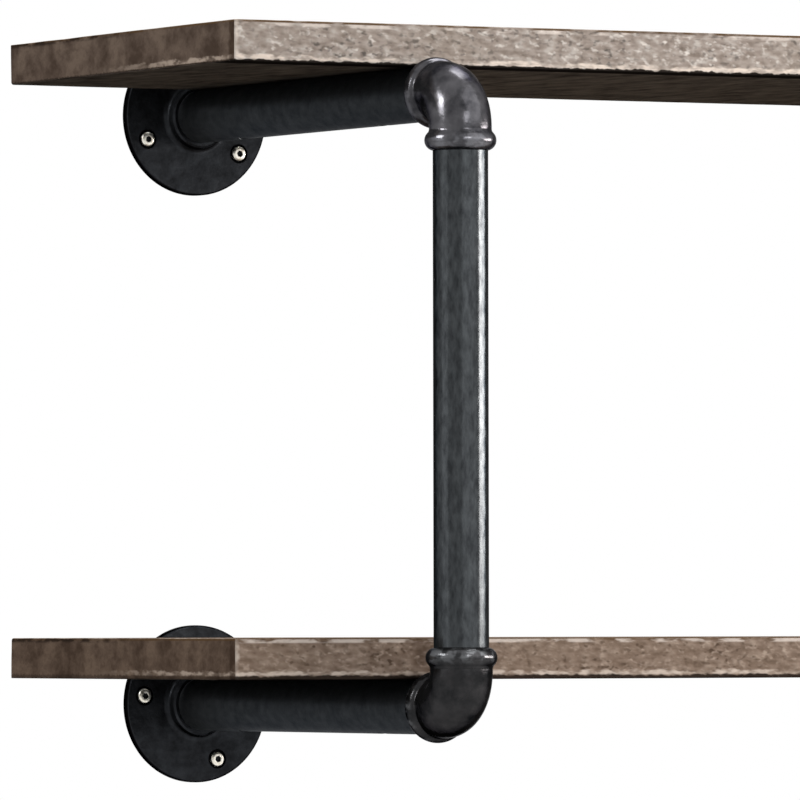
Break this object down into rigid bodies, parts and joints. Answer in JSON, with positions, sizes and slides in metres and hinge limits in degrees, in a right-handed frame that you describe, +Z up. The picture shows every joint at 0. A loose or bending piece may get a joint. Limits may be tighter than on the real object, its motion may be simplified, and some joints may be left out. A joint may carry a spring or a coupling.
{
  "type": "pipe shelving unit",
  "caption": "Wall-mounted pipe shelving unit: thick wooden boards resting on C-shaped black pipe brackets with beaded elbows and round wall flanges.",
  "frame": {"origin": "on the wall plane, midway between the two brackets, at the height of the lower flanges' centres", "axes": "+X to the right along the boards seen from the room, +Y into the wall, +Z up"},
  "size_m": [0.914, 0.3971, 0.469],
  "materials": {
    "board_wood": "weathered grey-brown, matt",
    "pipe_black": "satin black coated steel pipe",
    "fitting_black": "semi-gloss black malleable iron",
    "screw_zinc": "bright zinc plating",
    "screw_black": "black oxide"
  },
  "bodies": {
    "root": {"shelf_board_lower": "board_wood", "shelf_board_upper": "board_wood", "wall_flange_left_lower": "fitting_black", "arm_pipe_left_lower": "pipe_black", "elbow_left_lower": "fitting_black", "flange_screws_left_lower": "screw_zinc", "board_screws_left_lower": "screw_black", "wall_flange_left_upper": "fitting_black", "arm_pipe_left_upper": "pipe_black", "elbow_left_upper": "fitting_black", "flange_screws_left_upper": "screw_zinc", "board_screws_left_upper": "screw_black", "upright_pipe_left": "pipe_black", "wall_flange_right_lower": "fitting_black", "arm_pipe_right_lower": "pipe_black", "elbow_right_lower": "fitting_black", "flange_screws_right_lower": "screw_zinc", "board_screws_right_lower": "screw_black", "wall_flange_right_upper": "fitting_black", "arm_pipe_right_upper": "pipe_black", "elbow_right_upper": "fitting_black", "flange_screws_right_upper": "screw_zinc", "board_screws_right_upper": "screw_black", "upright_pipe_right": "pipe_black"}
  },
  "joints": []
}
